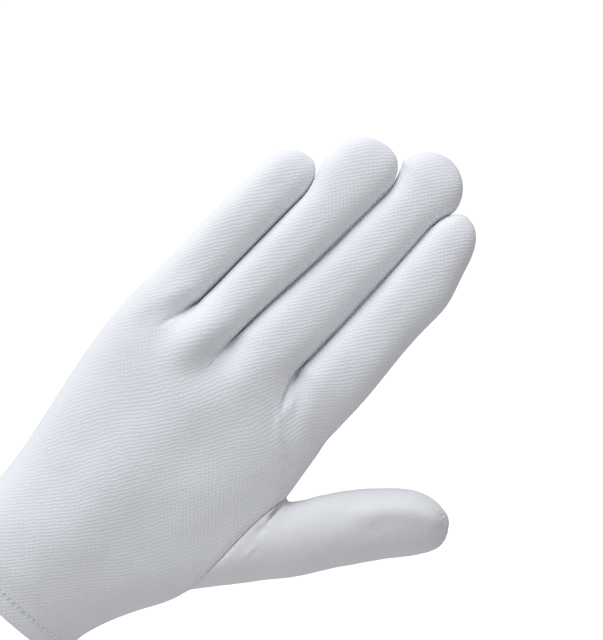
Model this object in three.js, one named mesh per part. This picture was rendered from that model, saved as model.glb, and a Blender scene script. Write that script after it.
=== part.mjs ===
// A white cotton dress glove for the left hand, filled out as it is when a hand wears it.
// +X is the thumb's side, -Y the back of the hand, and +Z runs up the fingers.
// The origin is the middle of the wrist opening, in the plane of the hem's lower edge.
// Lengths are in millimetres.
import * as THREE from 'three';
import { mergeVertices } from 'three/addons/utils/BufferGeometryUtils.js';

// Cloth and seams
const CLOTH = 1.2; // wall of the knitted cotton
const SEAM_GAP = 0.3; // between two sewn pieces
const FINGER_GAP = 0.6; // between neighbouring fingers
const HEM_HEIGHT = 7; // the cloth turned over at the wrist
const HEM_WALL = 2.4; // two layers of cloth
const HEM_STEP = 0.4; // how far the hem stands proud of the panels

// Hand
const PALM_LENGTH = 128.8; // hem's edge to the foot of the fingers
const KNUCKLE_WIDTH = 83.8;
const KNUCKLE_THICKNESS = 28;
const WRIST_WIDTH = 64;
const WRIST_THICKNESS = 45;
const VALLEY_BACK = 30; // how far the folds between the fingers run down the back of the hand
const VALLEY_PALM = 17; // and down the palm
const VALLEY_FADE = 2.5; // times VALLEY_BACK, where the lines of the folds join the hand's own spacing
const FINGER_BLEND = 18; // how far up a finger the hand's thickness still tells

// Fingers
const FINGER_LENGTH = 96; // foot of the fingers to the middle finger's tip
const FINGER_THICKNESS = 19;

// One row for each finger, from the little finger to the forefinger. Share is its part of the row's width,
// tip its height above the foot of the fingers as a share of FINGER_LENGTH. Thick and bend are shares of
// FINGER_THICKNESS: its own thickness, and how far its tip leans to the palm.
const FINGERS = [
  { share: 0.218, tip: 0.631, thick: 0.895, bend: 0.16 },
  { share: 0.211, tip: 0.866, thick: 0.974, bend: 0.18 },
  { share: 0.282, tip: 1.0, thick: 1.0, bend: 0.42 },
  { share: 0.289, tip: 0.889, thick: 1.0, bend: 0.18 },
];

// One row for the end of each finger, in shares of FINGER_THICKNESS. Round is the height of its rounded
// end, left and right are how far it swells sideways above a shorter neighbour, and taper is how much it
// narrows near the tip on the thumb's side. Lean is where its top lies, as a share of half the finger's
// width towards the thumb.
const FINGER_ENDS = [
  { round: 0.66, lean: 0.2, left: 0, right: 0, taper: 0 },
  { round: 0.66, lean: 0.2, left: 0.216, right: 0, taper: 0 },
  { round: 0.74, lean: 0.1, left: 0.242, right: 0.137, taper: 0 },
  { round: 0.66, lean: -0.4, left: 0, right: 0, taper: 0.342 },
];
const TAPER_START = 0.62; // shares of a finger's length between which the taper sets in
const TAPER_END = 0.95;
const SWELL_ROOM = 0.8; // share of the room above a neighbour's rounded end that a swell may take
const OPENING = 3; // height above a crotch over which two fingers part

// One row for each line between two fingers, and for the two outer edges. Rise is the crotch's height above
// the foot of the fingers, as a share of FINGER_LENGTH. Drift is how far the fold below it bends towards the
// thumb on its way down, and sway how far the line moves towards the thumb on its way up, both as shares of
// KNUCKLE_WIDTH. By is the share of the fingers' length that the sway takes.
const CROTCHES = [
  { rise: -0.042, drift: 0, sway: -0.006, by: 0.2 },
  { rise: -0.021, drift: -0.066, sway: -0.005, by: 0.5 },
  { rise: -0.031, drift: 0.018, sway: 0.019, by: 0.5 },
  { rise: 0.073, drift: 0.143, sway: -0.036, by: 1.0 },
  { rise: 0.031, drift: 0, sway: -0.037, by: 0.45 },
];

// Outline of the hand. Up is a share of PALM_LENGTH. Wrist is how much a row follows the wrist's size
// instead of the knuckles' size, and the rest are shares of that half width and half thickness.
const HAND_ROWS = [
  { up: 0.0, wrist: 1.0, left: 0.985, right: 1.018, back: 1.0, palm: 1.0 },
  { up: 0.085, wrist: 1.0, left: 0.91, right: 1.03, back: 0.95, palm: 0.95 },
  { up: 0.168, wrist: 1.0, left: 0.875, right: 1.13, back: 0.89, palm: 0.88 },
  { up: 0.251, wrist: 0.9, left: 0.85, right: 1.245, back: 0.86, palm: 0.85 },
  { up: 0.313, wrist: 0.75, left: 0.842, right: 1.315, back: 0.86, palm: 0.87 },
  { up: 0.376, wrist: 0.6, left: 0.845, right: 1.335, back: 0.87, palm: 0.92 },
  { up: 0.459, wrist: 0.4, left: 0.863, right: 1.26, back: 0.92, palm: 0.98 },
  { up: 0.558, wrist: 0.2, left: 0.89, right: 1.21, back: 0.98, palm: 1.03 },
  { up: 0.667, wrist: 0.0, left: 0.915, right: 1.18, back: 1.04, palm: 1.05 },
  { up: 0.756, wrist: 0.0, left: 0.955, right: 1.184, back: 1.04, palm: 1.02 },
  { up: 0.823, wrist: 0.0, left: 0.969, right: 1.153, back: 1.03, palm: 0.98 },
  { up: 0.896, wrist: 0.0, left: 0.974, right: 1.117, back: 1.0, palm: 0.94 },
  { up: 0.946, wrist: 0.0, left: 0.967, right: 1.088, back: 0.95, palm: 0.9 },
  { up: 1.0, wrist: 0.0, left: 0.971, right: 1.082, back: 0.89, palm: 0.86 },
  { up: 1.07, wrist: 0.0, left: 0.981, right: 1.07, back: 0.8, palm: 0.8 },
  { up: 1.25, wrist: 0.0, left: 0.985, right: 1.02, back: 0.7, palm: 0.7 },
];

// Thickness of a finger. Up is a share of the way from its crotch to its tip, and the rest are shares of
// half its thickness.
const FINGER_ROWS = [
  { up: 0.0, back: 1.22, palm: 1.2 },
  { up: 0.12, back: 1.12, palm: 1.14 },
  { up: 0.3, back: 1.02, palm: 1.08 },
  { up: 0.5, back: 1.04, palm: 1.0 },
  { up: 0.72, back: 0.95, palm: 0.98 },
  { up: 0.85, back: 0.9, palm: 0.98 },
  { up: 1.0, back: 0.88, palm: 0.95 },
];

// Pads of the palm: the ball of the thumb, the heel below the little finger, the hollow between them and
// the pad under the fingers. X and wide are shares of half of KNUCKLE_WIDTH, up and high of PALM_LENGTH, and
// rise of KNUCKLE_THICKNESS.
const PALM_PADS = [
  { x: 0.72, up: 0.54, wide: 0.5, high: 0.22, rise: 0.196 },
  { x: -0.55, up: 0.46, wide: 0.36, high: 0.24, rise: 0.114 },
  { x: 0.05, up: 0.65, wide: 0.3, high: 0.2, rise: -0.086 },
  { x: -0.1, up: 0.9, wide: 0.9, high: 0.07, rise: 0.043 },
];

const PAD_FADE = 3; // how close to the hand's edges the pads reach

// Thumb hole, in the upright plane that the thumb's seam follows
const HOLE_LOW = 47.3; // foot of the seam, above the hem's edge
const HOLE_HIGH = 97.3; // crotch of the thumb
const HOLE_BACK = 8.5; // how far the hole reaches to the back of the hand
const HOLE_PALM = 11.5; // and to the palm

// Thumb
const THUMB_REACH = 76.8; // middle of the hole to the tip, in the plane of the hand
const THUMB_SPLAY = 43.7; // degrees from the fingers' direction
const THUMB_WIDTH = 26;
const THUMB_THICKNESS = 21;
const THUMB_FORWARD = 5.3; // how far its tip stands to the palm side
const THUMB_CURL = 1.5; // how late along the thumb that happens: 1 is evenly

// Sections of the thumb. Along is a share of THUMB_REACH, side a share of THUMB_WIDTH away from the fingers,
// turn the section's slant in degrees, wide and deep shares of half the width and half the thickness.
const THUMB_ROWS = [
  { along: 0.04, side: 0.04, turn: 2.8, wide: 1.8, deep: 0.97 },
  { along: 0.136, side: 0.012, turn: -0.7, wide: 1.658, deep: 1.0 },
  { along: 0.239, side: -0.031, turn: -5.2, wide: 1.542, deep: 1.03 },
  { along: 0.385, side: -0.084, turn: -13.3, wide: 1.389, deep: 1.06 },
  { along: 0.545, side: -0.147, turn: -22.0, wide: 1.19, deep: 1.05 },
  { along: 0.671, side: -0.18, turn: -25.3, wide: 1.09, deep: 1.02 },
  { along: 0.779, side: -0.187, turn: -26.0, wide: 1.0, deep: 0.98 },
  { along: 0.877, side: -0.15, turn: -27.0, wide: 0.85, deep: 0.88 },
  { along: 0.942, side: -0.09, turn: -26.0, wide: 0.65, deep: 0.69 },
  { along: 0.984, side: -0.03, turn: -24.0, wide: 0.37, deep: 0.4 },
  { along: 1.0, side: 0.01, turn: -24.0, wide: 0.0, deep: 0.0 },
];

// Roundness of the sections: 2 is an ellipse, more is squarer
const HAND_BACK_ROUND = 2.6;
const HAND_CREST = 0.3; // crest of the back, towards the little finger, over half the hand's width
const HAND_PALM_ROUND = 2.9;
const FINGER_ROUND = 2.2;
const TIP_ROUND = 2.0;
const HOLE_ROUND = 2.2;
const VALLEY_ROUND = 1.7;

// Fineness of the faceted surfaces
const COLUMNS = 8; // across one finger
const CUFF_STEPS = 5; // hem to the thumb hole
const HOLE_STEPS = 7; // along the thumb hole
const VALLEY_STEPS = 6; // thumb hole to the crotches
const TIP_STEPS = 5; // along the rounded end of a finger
const FINGER_SHARES = [0.04, 0.12, 0.3, 0.52, 0.76, 1.0]; // rows up a finger, below its free part
const FREE_STEPS = 3; // rows up to its rounded end
const THUMB_COLUMNS = 24;
const HEM_STEPS = 2;

const BACK = -1;
const PALM = 1;

const holeMiddle = (HOLE_LOW + HOLE_HIGH) / 2;
const panelFoot = HEM_HEIGHT + SEAM_GAP;

const mix = (a, b, share) => a + (b - a) * share;

function smooth(value) {
  const t = Math.min(1, Math.max(0, value));
  return t * t * (3 - 2 * t);
}

// Signed power, and the height of a rounded section of half width 1 at a place from -1 to 1
const signedPower = (value, power) => Math.sign(value) * Math.abs(value) ** power;
const arch = (place, round) => Math.max(0, 1 - Math.abs(place) ** round) ** (1 / round);

// A table's column at any place, on a smooth curve through its rows
function lookUp(rows, column, up) {
  const last = rows.length - 1;
  let i = 0;
  while (i < last - 1 && up > rows[i + 1].up) i += 1;
  const slope = (k) => {
    const a = rows[Math.max(0, k - 1)];
    const b = rows[Math.min(last, k + 1)];
    return (b[column] - a[column]) / (b.up - a.up);
  };
  const span = rows[i + 1].up - rows[i].up;
  const t = Math.min(1, Math.max(0, (up - rows[i].up) / span));
  const rise = slope(i) * span * (t ** 3 - 2 * t ** 2 + t);
  const fall = slope(i + 1) * span * (t ** 3 - t ** 2);
  return mix(rows[i][column], rows[i + 1][column], smooth(t)) + rise + fall;
}

// Outline of the hand at a height: its two edges and its thickness on either side of the seam
function handAt(z, inset) {
  const up = z / PALM_LENGTH;
  const wrist = lookUp(HAND_ROWS, 'wrist', up);
  const halfWidth = mix(KNUCKLE_WIDTH, WRIST_WIDTH, wrist) / 2;
  const halfThickness = mix(KNUCKLE_THICKNESS, WRIST_THICKNESS, wrist) / 2;
  return {
    left: -halfWidth * lookUp(HAND_ROWS, 'left', up) + inset,
    right: halfWidth * lookUp(HAND_ROWS, 'right', up) - inset,
    back: halfThickness * lookUp(HAND_ROWS, 'back', up) - inset,
    palm: halfThickness * lookUp(HAND_ROWS, 'palm', up) - inset,
  };
}

// The thumb's seam runs in this straight line, from the hand's edge at the hole's foot to that at its top
function seamX(z) {
  const low = handAt(HOLE_LOW, 0).right;
  const high = handAt(HOLE_HIGH, 0).right;
  return mix(low, high, (z - HOLE_LOW) / (HOLE_HIGH - HOLE_LOW));
}

// How far the thumb hole's edge lies from the middle of the cloth, on one side
function holeDepth(side, z, inset) {
  const half = (HOLE_HIGH - HOLE_LOW) / 2 - inset;
  const depth = (side === BACK ? HOLE_BACK : HOLE_PALM) - inset;
  return depth * arch((z - holeMiddle) / half, HOLE_ROUND);
}

const crotchHeight = (line, inset) => PALM_LENGTH + CROTCHES[line].rise * FINGER_LENGTH - inset;
const tipHeight = (finger, inset) => PALM_LENGTH + FINGERS[finger].tip * FINGER_LENGTH - inset;
const endHeight = (finger) => FINGER_ENDS[finger].round * FINGER_THICKNESS;
const shoulderHeight = (finger) => tipHeight(finger, 0) - endHeight(finger);

// Lines between the fingers at the crotches, with the hand's two edges at either end
const rowLeft = handAt(crotchHeight(0, 0), 0).left;
const rowRight = handAt(crotchHeight(4, 0), 0).right;
const crotchLines = [rowLeft];
FINGERS.forEach((finger, line) => {
  crotchLines.push(crotchLines[line] + finger.share * (rowRight - rowLeft));
});

// Share of its width that a finger has left in its rounded end
function leftWide(finger, z) {
  const up = (z - shoulderHeight(finger)) / endHeight(finger);
  return arch(Math.min(1, Math.max(0, up)), TIP_ROUND);
}

// Height from which a finger stands free of a shorter neighbour
function freeHeight(finger) {
  const beside = [finger - 1, finger + 1].filter((near) => FINGERS[near]);
  return Math.min(shoulderHeight(finger) - endHeight(finger) / 4, ...beside.map(shoulderHeight));
}

// Rows of a strip that is as wide as one finger, from the hem to the fingertip
function rowsOf(inset) {
  const rows = [];
  const low = HOLE_LOW + inset;
  const high = HOLE_HIGH - inset;
  for (let k = 0; k < CUFF_STEPS; k += 1) {
    rows.push({ zone: 'hand', z: mix(panelFoot, low, k / CUFF_STEPS) });
  }
  for (let k = 0; k <= HOLE_STEPS; k += 1) {
    const around = Math.cos((Math.PI * k) / HOLE_STEPS);
    rows.push({ zone: 'hole', z: mix(high, low, (1 + around) / 2) });
  }
  for (let k = 1; k <= VALLEY_STEPS; k += 1) {
    rows.push({ zone: 'valley', share: Math.sin((Math.PI * k) / (2 * VALLEY_STEPS)), from: high });
  }
  FINGER_SHARES.forEach((share) => rows.push({ zone: 'finger', share }));
  for (let k = 1; k <= FREE_STEPS; k += 1) rows.push({ zone: 'free', share: k / FREE_STEPS });
  for (let k = 1; k <= TIP_STEPS; k += 1) {
    rows.push({ zone: 'tip', angle: (Math.PI * k) / (2 * TIP_STEPS) });
  }
  return rows;
}

const rowCount = rowsOf(0).length;
const crotchRow = CUFF_STEPS + HOLE_STEPS + VALLEY_STEPS;

// Height of a point in a row, at a share of the way across a finger's strip
function rowHeight(row, finger, across, inset) {
  const crotch = mix(crotchHeight(finger, inset), crotchHeight(finger + 1, inset), across);
  const free = freeHeight(finger);
  const shoulder = shoulderHeight(finger);
  if (row.zone === 'valley') return mix(row.from, crotch, row.share);
  if (row.zone === 'finger') return mix(crotch, free, row.share);
  if (row.zone === 'free') return mix(free, shoulder, row.share);
  if (row.zone === 'tip') {
    return mix(shoulder, tipHeight(finger, inset), Math.sin(row.angle) ** (2 / TIP_ROUND));
  }
  return row.z;
}

// How far a finger swells sideways at a height, above a shorter neighbour's rounded end
function swell(share, z, neighbour) {
  if (share === 0) return 0;
  const amount = share * FINGER_THICKNESS;
  const width = FINGERS[neighbour].share * (rowRight - rowLeft);
  const room = (1 - leftWide(neighbour, z)) * (width / 2) * SWELL_ROOM;
  return amount * (1 - Math.exp(-room / amount));
}

// The line between two fingers at a height above the crotches
function fingerLine(line, z) {
  const { sway, by } = CROTCHES[line];
  const up = (z - crotchHeight(line, 0)) / FINGER_LENGTH;
  return crotchLines[line] + sway * KNUCKLE_WIDTH * smooth(up / by);
}

// The two edges of a finger at a height, on the seam
function fingerEdges(finger, z, inset) {
  const { left, right, taper } = FINGER_ENDS[finger];
  const opened = (line) => smooth((z - crotchHeight(line, inset)) / OPENING);
  const gapLeft = finger === 0 ? inset : opened(finger) * (FINGER_GAP / 2 + inset);
  const isLast = finger === FINGERS.length - 1;
  const gapRight = isLast ? inset : opened(finger + 1) * (FINGER_GAP / 2 + inset);
  const up = (z - PALM_LENGTH) / (tipHeight(finger, 0) - PALM_LENGTH);
  const narrowed = smooth((up - TAPER_START) / (TAPER_END - TAPER_START));
  const tapered = taper * FINGER_THICKNESS * narrowed;
  return {
    left: fingerLine(finger, z) + gapLeft - swell(left, z, finger - 1),
    right: fingerLine(finger + 1, z) - gapRight + swell(right, z, finger + 1) - tapered,
    untapered: fingerLine(finger + 1, z) - gapRight,
  };
}

// The line between two strips on the hand, below the crotches
function handLine(line, z, inset) {
  const hand = handAt(z, inset);
  const right = z >= HOLE_LOW && z <= HOLE_HIGH ? seamX(z) - SEAM_GAP / 2 : hand.right;
  const share = (crotchLines[line] - rowLeft) / (rowRight - rowLeft);
  const below = (crotchHeight(line, inset) - z) / VALLEY_BACK;
  const drift = CROTCHES[line].drift * KNUCKLE_WIDTH;
  const bent = drift * smooth(below) * (1 - smooth((below - 1) / 2));
  const atHand = mix(hand.left, right, share);
  if (line === 0 || line === FINGERS.length) return atHand;
  return mix(crotchLines[line], atHand, smooth(below / VALLEY_FADE)) + bent;
}

// Height of the hand's rounded section above the seam
function handHeight(side, x, z, inset, inHole, fingerEdge = {}) {
  const hand = { ...handAt(z, inset), ...fingerEdge };
  const right = inHole ? seamX(z) - SEAM_GAP / 2 : hand.right;
  const middle = (hand.left + right) / 2;
  const thickness = side === BACK ? hand.back : hand.palm;
  const round = side === BACK ? HAND_BACK_ROUND : HAND_PALM_ROUND;
  const across = (x - middle) / (right - middle);
  let place = side === BACK ? across + HAND_CREST * (1 - across ** 2) : across;
  if (inHole && place > 0) {
    place *= arch(holeDepth(side, z, inset) / thickness, round);
  }
  const pads = PALM_PADS.reduce((sum, pad) => {
    const dx = (x - (pad.x * KNUCKLE_WIDTH) / 2) / ((pad.wide * KNUCKLE_WIDTH) / 2);
    const dz = (z / PALM_LENGTH - pad.up) / pad.high;
    return sum + pad.rise * KNUCKLE_THICKNESS * Math.exp(-(dx ** 2 + dz ** 2));
  }, 0);
  const edgeFade = 1 - Math.min(1, Math.abs(across)) ** PAD_FADE;
  return thickness * arch(place, round) + (side === PALM ? pads * edgeFade : 0);
}

// How far the fold between the fingers has set in at a height: nothing on the hand, all at the crotch
function foldAt(side, z, crotch) {
  const length = side === BACK ? VALLEY_BACK : VALLEY_PALM;
  return 1 - arch(Math.max(0, 1 - Math.max(0, crotch - z) / length), VALLEY_ROUND);
}

// One point of a panel's outer face (inset 0) or inner face (inset CLOTH)
function panelPoint(side, finger, row, column, inset) {
  const bend = FINGERS[finger].bend * FINGER_THICKNESS;
  const halfThickness = (FINGERS[finger].thick * FINGER_THICKNESS) / 2;
  const isFirst = finger === 0;
  const isLast = finger === FINGERS.length - 1;
  const theta = (Math.PI * column) / COLUMNS;
  const across = column / COLUMNS;
  const place = -signedPower(Math.cos(theta), 2 / FINGER_ROUND);
  const fingerArch = Math.abs(Math.sin(theta)) ** (2 / FINGER_ROUND);
  const z = rowHeight(row, finger, across, inset);
  const crotch = mix(crotchHeight(finger, inset), crotchHeight(finger + 1, inset), across);
  const up = Math.max(0, (z - crotch) / (tipHeight(finger, inset) - crotch));
  const shareName = side === BACK ? 'back' : 'palm';
  const fingerHeight = (halfThickness * lookUp(FINGER_ROWS, shareName, up) - inset) * fingerArch;
  const onHand = row.zone === 'hand' || row.zone === 'hole' || row.zone === 'valley';
  const blend = smooth((z - crotch + VALLEY_PALM) / (VALLEY_PALM + FINGER_BLEND));
  let x = 0;
  let shrink = 1;
  // Above the crotch the hand's section ends at the outer finger's own edge
  const fingerEdge = {};
  if (onHand) {
    // On the hand an outer strip's columns crowd towards the hand's own edge
    let spacing = across;
    if (isFirst) spacing = 1 - Math.cos(theta / 2);
    if (isLast) spacing = Math.sin(theta / 2);
    const turned = row.zone === 'valley' ? row.share ** 2 : 0;
    const share = mix(spacing, (1 + place) / 2, turned);
    x = mix(handLine(finger, z, inset), handLine(finger + 1, z, inset), share);
  } else {
    const edges = fingerEdges(finger, z, inset);
    if (isFirst) fingerEdge.left = edges.left;
    if (isLast) fingerEdge.right = edges.right;
    if (row.zone === 'tip') shrink = Math.max(0, Math.cos(row.angle)) ** (2 / TIP_ROUND);
    const middle = (edges.left + edges.right) / 2;
    const top = mix(edges.left, edges.untapered, (1 + FINGER_ENDS[finger].lean) / 2);
    const apex = row.zone === 'tip' ? top : middle;
    x = apex + (mix(edges.left, edges.right, (1 + place) / 2) - apex) * shrink;
  }
  // The folds between the fingers press the hand's section down, but not at the hand's own edges
  const atOwnEdge = (isFirst && place < 0) || (isLast && place > 0);
  const fold = foldAt(side, z, crotch);
  const pressed = mix(1, atOwnEdge ? 1 : fingerArch, fold);
  const inHole = row.zone === 'hole';
  const hand = blend < 1 ? handHeight(side, x, z, inset, inHole, fingerEdge) * pressed : 0;
  const height = mix(hand, fingerHeight, blend) * shrink;
  return new THREE.Vector3(x, bend * up ** 2 + side * (height + SEAM_GAP / 2), z);
}

// A closed body from two faces of cloth that share one list of triangles: the outer face as it is, the
// inner face turned round, and a rim along every open edge.
function clothBody(outer, inner, faces) {
  const open = new Map();
  const kept = faces.filter(([a, b, c]) => a !== b && b !== c && c !== a);
  kept.forEach(([a, b, c]) => {
    [[a, b], [b, c], [c, a]].forEach(([from, to]) => {
      if (!open.delete(`${to},${from}`)) open.set(`${from},${to}`, [from, to]);
    });
  });
  const corners = [];
  kept.forEach(([a, b, c]) => corners.push(outer[a], outer[b], outer[c], inner[a], inner[c], inner[b]));
  open.forEach(([a, b]) => corners.push(outer[b], outer[a], inner[a], outer[b], inner[a], inner[b]));
  const loose = new THREE.BufferGeometry().setFromPoints(corners);
  const merged = mergeVertices(loose);
  merged.computeVertexNormals();
  return merged;
}

// The panel over the back of the hand or over the palm, with its half of the four fingers
function panelGeometry(side) {
  const faces = [];
  const pointsOf = (inset) => {
    const rows = rowsOf(inset);
    const points = [];
    FINGERS.forEach((_, finger) => {
      rows.forEach((row) => {
        for (let column = 0; column <= COLUMNS; column += 1) {
          points.push(panelPoint(side, finger, row, column, inset));
        }
      });
    });
    return points;
  };
  // Strips share their side column up to the crotch, and a finger's last row is one point
  const index = (finger, row, column) => {
    if (column === COLUMNS && finger < FINGERS.length - 1 && row <= crotchRow) {
      return index(finger + 1, row, 0);
    }
    return (finger * rowCount + row) * (COLUMNS + 1) + (row === rowCount - 1 ? 0 : column);
  };
  FINGERS.forEach((_, finger) => {
    for (let row = 0; row < rowCount - 1; row += 1) {
      for (let column = 0; column < COLUMNS; column += 1) {
        const a = index(finger, row, column);
        const b = index(finger, row, column + 1);
        const c = index(finger, row + 1, column + 1);
        const d = index(finger, row + 1, column);
        if (side === BACK) faces.push([a, b, c], [a, c, d]);
        else faces.push([a, c, b], [a, d, c]);
      }
    }
  });
  return clothBody(pointsOf(0), pointsOf(CLOTH), faces);
}

// Rings of points around an axis, joined into a tube
function tubeFaces(rings, around) {
  const faces = [];
  for (let ring = 0; ring < rings - 1; ring += 1) {
    for (let k = 0; k < around; k += 1) {
      const next = (k + 1) % around;
      const a = ring * around + k;
      const b = ring * around + next;
      faces.push([a, b, b + around], [a, b + around, a + around]);
    }
  }
  return faces;
}

// The thumb: its first ring lies in the seam's plane and has the hole's outline
function thumbPoints(inset) {
  const points = [];
  const splay = THREE.MathUtils.degToRad(THUMB_SPLAY);
  const along = new THREE.Vector3(Math.sin(splay), 0, Math.cos(splay));
  const aside = new THREE.Vector3(Math.cos(splay), 0, -Math.sin(splay));
  const foot = new THREE.Vector3(seamX(holeMiddle), (HOLE_PALM - HOLE_BACK) / 2, holeMiddle);
  const halfHole = (HOLE_HIGH - HOLE_LOW) / 2 - inset;
  for (let k = 0; k < THUMB_COLUMNS; k += 1) {
    const angle = (2 * Math.PI * k) / THUMB_COLUMNS;
    const z = holeMiddle + halfHole * signedPower(Math.cos(angle), 2 / HOLE_ROUND);
    const side = Math.sin(angle) >= 0 ? BACK : PALM;
    const depth = (side === BACK ? HOLE_BACK : HOLE_PALM) - inset;
    const y = side * depth * Math.abs(Math.sin(angle)) ** (2 / HOLE_ROUND);
    points.push(new THREE.Vector3(seamX(z) + SEAM_GAP / 2, y, z));
  }
  THUMB_ROWS.forEach((row, index) => {
    const turn = THREE.MathUtils.degToRad(row.turn);
    const across = new THREE.Vector3(Math.sin(turn), 0, Math.cos(turn));
    const isTip = index === THUMB_ROWS.length - 1;
    const middle = foot.clone()
      .addScaledVector(along, row.along * THUMB_REACH - (isTip ? inset : 0))
      .addScaledVector(aside, row.side * THUMB_WIDTH);
    middle.y += THUMB_FORWARD * row.along ** THUMB_CURL;
    const wide = isTip ? 0 : (row.wide * THUMB_WIDTH) / 2 - inset;
    const deep = isTip ? 0 : (row.deep * THUMB_THICKNESS) / 2 - inset;
    for (let k = 0; k < THUMB_COLUMNS; k += 1) {
      const angle = (2 * Math.PI * k) / THUMB_COLUMNS;
      const point = middle.clone().addScaledVector(across, wide * Math.cos(angle));
      point.y -= deep * Math.sin(angle);
      points.push(point);
    }
  });
  return points;
}

function thumbGeometry() {
  const rings = THUMB_ROWS.length + 1;
  const tip = (rings - 1) * THUMB_COLUMNS;
  const faces = tubeFaces(rings, THUMB_COLUMNS);
  const joined = faces.map((face) => face.map((corner) => Math.min(corner, tip)));
  return clothBody(thumbPoints(0), thumbPoints(CLOTH), joined);
}

// The hem goes round the wrist opening in one ring, with the panels' own outline
function hemPoints(inset) {
  const points = [];
  for (let k = 0; k <= HEM_STEPS; k += 1) {
    const z = (HEM_HEIGHT * k) / HEM_STEPS;
    [BACK, PALM].forEach((side) => {
      const count = FINGERS.length * COLUMNS;
      for (let step = 0; step < count; step += 1) {
        const position = side === BACK ? step : count - step;
        const hand = handAt(z, inset);
        const place = -Math.cos((Math.PI * position) / count);
        const x = mix(hand.left, hand.right, (1 + place) / 2);
        points.push(new THREE.Vector3(x, side * handHeight(side, x, z, inset, false), z));
      }
    });
  }
  return points;
}

function hemGeometry() {
  const around = 2 * FINGERS.length * COLUMNS;
  const faces = tubeFaces(HEM_STEPS + 1, around);
  return clothBody(hemPoints(-HEM_STEP), hemPoints(HEM_WALL - HEM_STEP), faces);
}

const knit = new THREE.MeshStandardMaterial({ color: 0xeeeff3, roughness: 0.92, metalness: 0 });
const smoothKnit = new THREE.MeshStandardMaterial({ color: 0xf0f0f2, roughness: 0.88, metalness: 0 });
const hemKnit = new THREE.MeshStandardMaterial({ color: 0xf2f2f4, roughness: 0.92, metalness: 0 });

const glove = new THREE.Group();

function addPiece(name, geometry, material) {
  const mesh = new THREE.Mesh(geometry, material);
  mesh.name = name;
  glove.add(mesh);
}

addPiece('back_panel', panelGeometry(BACK), knit);
addPiece('palm_panel', panelGeometry(PALM), knit);
addPiece('thumb', thumbGeometry(), smoothKnit);
addPiece('wrist_hem', hemGeometry(), hemKnit);

export default glove;
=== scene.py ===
"""A white cotton dress glove: a fine knitted shell for the hand and fingers, a thumb of smoother
cloth sewn into its side, and a turned, overlocked hem at the wrist. Sizes are in millimetres
until a mesh is made."""

import math
from functools import lru_cache

import bpy
from mathutils import Matrix, Vector, noise


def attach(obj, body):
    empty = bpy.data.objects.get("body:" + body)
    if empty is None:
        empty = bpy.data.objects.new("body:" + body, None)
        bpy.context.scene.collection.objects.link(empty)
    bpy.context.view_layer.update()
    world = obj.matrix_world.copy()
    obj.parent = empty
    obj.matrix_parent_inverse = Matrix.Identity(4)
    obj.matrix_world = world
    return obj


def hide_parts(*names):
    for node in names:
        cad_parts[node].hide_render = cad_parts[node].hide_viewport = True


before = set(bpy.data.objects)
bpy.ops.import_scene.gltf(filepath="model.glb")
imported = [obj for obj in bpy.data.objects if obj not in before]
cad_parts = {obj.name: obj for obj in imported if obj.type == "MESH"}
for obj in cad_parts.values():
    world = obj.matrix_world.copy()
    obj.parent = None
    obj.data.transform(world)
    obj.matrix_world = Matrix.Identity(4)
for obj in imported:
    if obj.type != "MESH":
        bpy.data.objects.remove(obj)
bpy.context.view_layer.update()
MM = 0.001


# ---------------------------------------------------------------------------------------------
# The knitted shell: one cut of cotton over the back of the hand and the backs of the four
# fingers, and one over the palm, sewn together along the sides of the fingers. Each is a wall
# of cloth, with its outer and its inner face.
CLOTH = 1.2
SEAM_GAP = 0.01
THUMB_GAP = 0.06
HEM_HEIGHT = 7.0
SHELL_FOOT = 7.03

PALM_LENGTH = 128.8
KNUCKLE_WIDTH = 83.8
KNUCKLE_THICKNESS = 28.0
WRIST_WIDTH = 64.0
WRIST_THICKNESS = 45.0
VALLEY_BACK = 30.0
VALLEY_PALM = 17.0
VALLEY_FADE = 2.5
VALLEY_SOFT = 2.2
FINGER_BLEND = 18.0
FINGER_GAP = 0.04
OPENING = 3.0
FINGER_LENGTH = 96.0
FINGER_THICKNESS = 19.0
TAPER_START, TAPER_END = 0.62, 0.95
SWELL_ROOM = 1.0
PAD_FADE = 3.0
HAND_BACK_ROUND, HAND_PALM_ROUND = 2.6, 2.9
HAND_CREST = 0.3
FINGER_ROUND, TIP_ROUND, VALLEY_ROUND, HOLE_ROUND = 2.5, 2.0, 1.7, 2.2
HOLE_LOW, HOLE_HIGH = 47.3, 97.3
HOLE_BACK, HOLE_PALM = 8.5, 11.5
SEAM_BOW = 1.5

# One row for each finger from the little finger to the forefinger: its share of the width, its
# tip's height over FINGER_LENGTH, its thickness and lean over FINGER_THICKNESS; then its end:
# round height, place of the top, swell to the left and right, and taper at the thumb's side
FINGERS = [
    dict(share=0.218, tip=0.631, thick=0.895, bend=0.16, round=0.66, lean=0.2, left=0, right=0,
         taper=0),
    dict(share=0.211, tip=0.866, thick=0.974, bend=0.18, round=0.66, lean=0.2, left=0.216,
         right=0, taper=0),
    dict(share=0.282, tip=1.0, thick=1.0, bend=0.42, round=0.74, lean=0.1, left=0.242,
         right=0.137, taper=0),
    dict(share=0.289, tip=0.889, thick=1.0, bend=0.18, round=0.66, lean=-0.4, left=0, right=0,
         taper=0.342),
]

# One row for each line between two fingers, with the two outer edges
CROTCHES = [
    dict(rise=-0.042, drift=0, sway=-0.006, by=0.2),
    dict(rise=-0.021, drift=-0.066, sway=-0.005, by=0.5),
    dict(rise=-0.031, drift=0.018, sway=0.019, by=0.5),
    dict(rise=0.073, drift=0.143, sway=-0.036, by=1.0),
    dict(rise=0.031, drift=0, sway=-0.037, by=0.45),
]

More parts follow.
